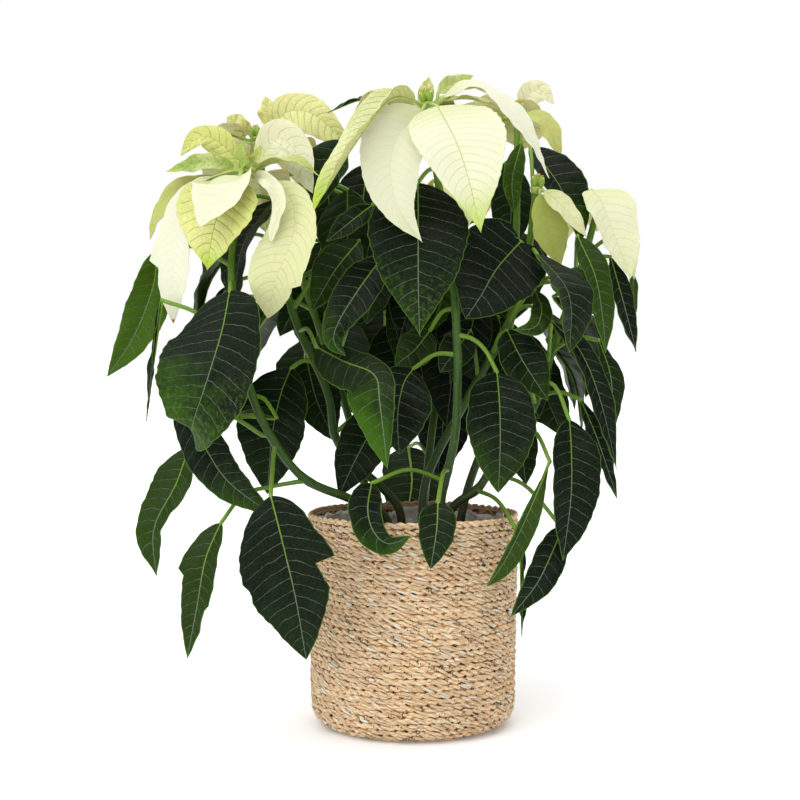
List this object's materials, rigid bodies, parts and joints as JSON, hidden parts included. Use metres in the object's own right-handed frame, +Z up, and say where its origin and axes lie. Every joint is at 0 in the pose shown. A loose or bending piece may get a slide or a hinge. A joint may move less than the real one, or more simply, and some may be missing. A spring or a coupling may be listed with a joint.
{
  "type": "poinsettia",
  "caption": "White poinsettia, a flowering house plant, with dark green leaves in a nursery pot and a lined, coiled rope basket.",
  "frame": {"origin": "middle of the basket's flat underside", "axes": "+Z up along the stems, -Y towards the plant's front, +X to its right in the front view"},
  "size_m": [0.3814, 0.3098, 0.4761],
  "materials": {
    "seagrass": "coarse dry twisted grass rope",
    "film": "thin crinkled greyish film",
    "pot_plastic": "thin dark matt plastic",
    "soil": "damp loose potting soil",
    "leaf": "satin dark green leaf with pale veins",
    "bract": "soft cream-white petal-like leaf with green-yellow veins",
    "bud": "smooth green bud with yellow tip"
  },
  "bodies": {
    "root": {"basket": "seagrass", "liner": "film", "nursery_pot": "pot_plastic", "soil": "soil", "leafy_stem_left": "leaf", "bloom_left": "bract", "buds_left": "bud", "leafy_stem_centre": "leaf", "bloom_centre": "bract", "buds_centre": "bud", "leafy_stem_upper_left": "leaf", "bloom_upper_left": "bract", "buds_upper_left": "bud", "leafy_stem_upper_right": "leaf", "bloom_upper_right": "bract", "buds_upper_right": "bud", "leafy_stem_right": "leaf", "bloom_right": "bract", "buds_right": "bud", "leafy_stem_inner_right": "leaf", "bloom_inner_right": "bract", "buds_inner_right": "bud", "leafy_stem_back_left": "leaf", "bloom_back_left": "bract", "buds_back_left": "bud", "leafy_stem_back": "leaf", "bloom_back": "bract", "buds_back": "bud"}
  },
  "joints": []
}
